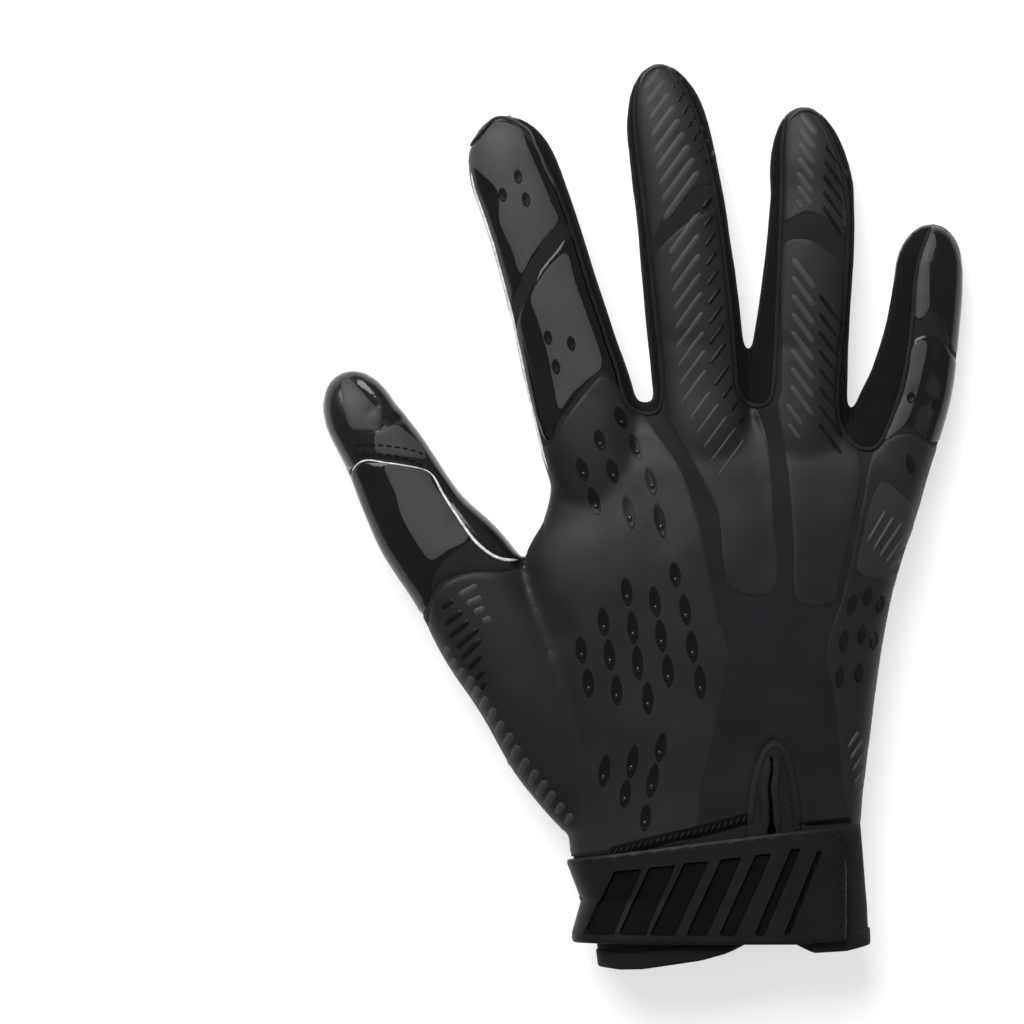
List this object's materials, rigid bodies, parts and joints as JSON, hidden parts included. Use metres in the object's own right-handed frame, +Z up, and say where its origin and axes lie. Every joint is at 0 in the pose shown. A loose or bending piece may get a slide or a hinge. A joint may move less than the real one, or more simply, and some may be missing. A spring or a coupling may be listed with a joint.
{
  "type": "football glove",
  "caption": "Right-hand football receiver's glove, lying palm down, hollow, with a silicone-faced palm, jersey back, ribbed overlays, slit cuff and a closure strap.",
  "frame": {"origin": "middle of the bounding box's footprint, on the surface that the palm lies on", "axes": "+Y from the cuff towards the fingertips, +Z up out of the back of the hand, thumb towards -X"},
  "size_m": [0.1725, 0.2449, 0.0285],
  "materials": {
    "back_fabric": "four-way stretch jersey with semi-gloss printed film overlays",
    "grip_silicone": "wet-look silicone grip face with a fine dot grid",
    "gusset_fabric": "matte stretch knit",
    "binding": "folded knit binding",
    "neoprene": "jersey-faced neoprene",
    "strap_rubber": "satin moulded rubber",
    "hook_tape": "nylon hook tape",
    "ribbon": "woven polyester ribbon"
  },
  "bodies": {
    "root": {"back_panel": "back_fabric", "palm_panel": "grip_silicone", "thumb_back": "back_fabric", "thumb_palm": "grip_silicone", "gusset_index_middle": "gusset_fabric", "gusset_middle_ring": "gusset_fabric", "gusset_ring_little": "gusset_fabric", "vent_placket": "binding", "cuff_band": "neoprene", "cuff_strap": "strap_rubber", "hook_patch": "hook_tape", "pull_tab": "ribbon"}
  },
  "joints": []
}
